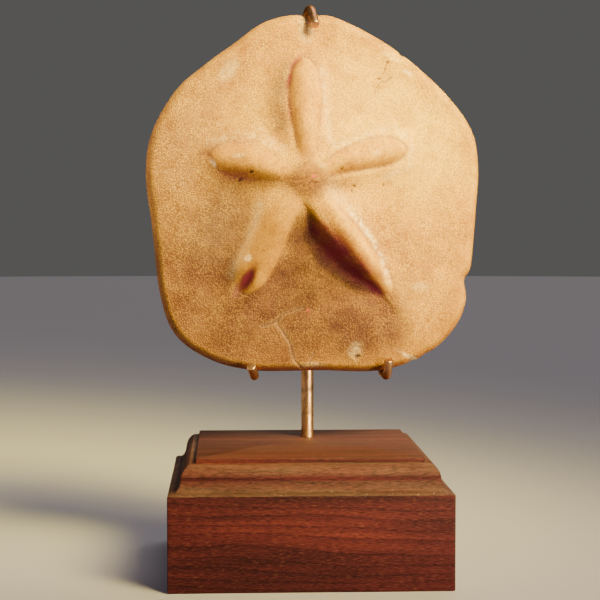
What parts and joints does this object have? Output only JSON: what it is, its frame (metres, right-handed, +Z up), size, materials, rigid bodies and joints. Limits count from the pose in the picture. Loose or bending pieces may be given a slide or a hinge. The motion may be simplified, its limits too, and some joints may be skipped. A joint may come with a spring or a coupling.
{
  "type": "mounted sea urchin fossil",
  "caption": "Pentagonal sea biscuit fossil with inflated petals, held upright by a brass hook and two-armed cradle on a post in a moulded walnut base.",
  "frame": {"origin": "centre of the wooden base's underside", "axes": "+Z up along the post; -Y is the front, where the fossil's petals face; +X to the right seen from the front"},
  "size_m": [0.1289, 0.103, 0.2158],
  "materials": {
    "fossil_stone": "matt, finely granular, honey-coloured limestone",
    "stained_walnut": "dark red-brown stain under a thin satin wax, straight horizontal grain",
    "post_brass": "brushed lengthways, lightly tarnished",
    "bar_brass": "bronzed, satin, brighter on the cut ends",
    "braze_metal": "file-finished braze"
  },
  "bodies": {
    "root": {"sea_urchin_fossil": "fossil_stone", "wood_base": "stained_walnut", "brass_post": "post_brass", "top_hook": "bar_brass", "lower_cradle": "bar_brass", "hook_braze": "braze_metal", "cradle_braze": "braze_metal"}
  },
  "joints": []
}
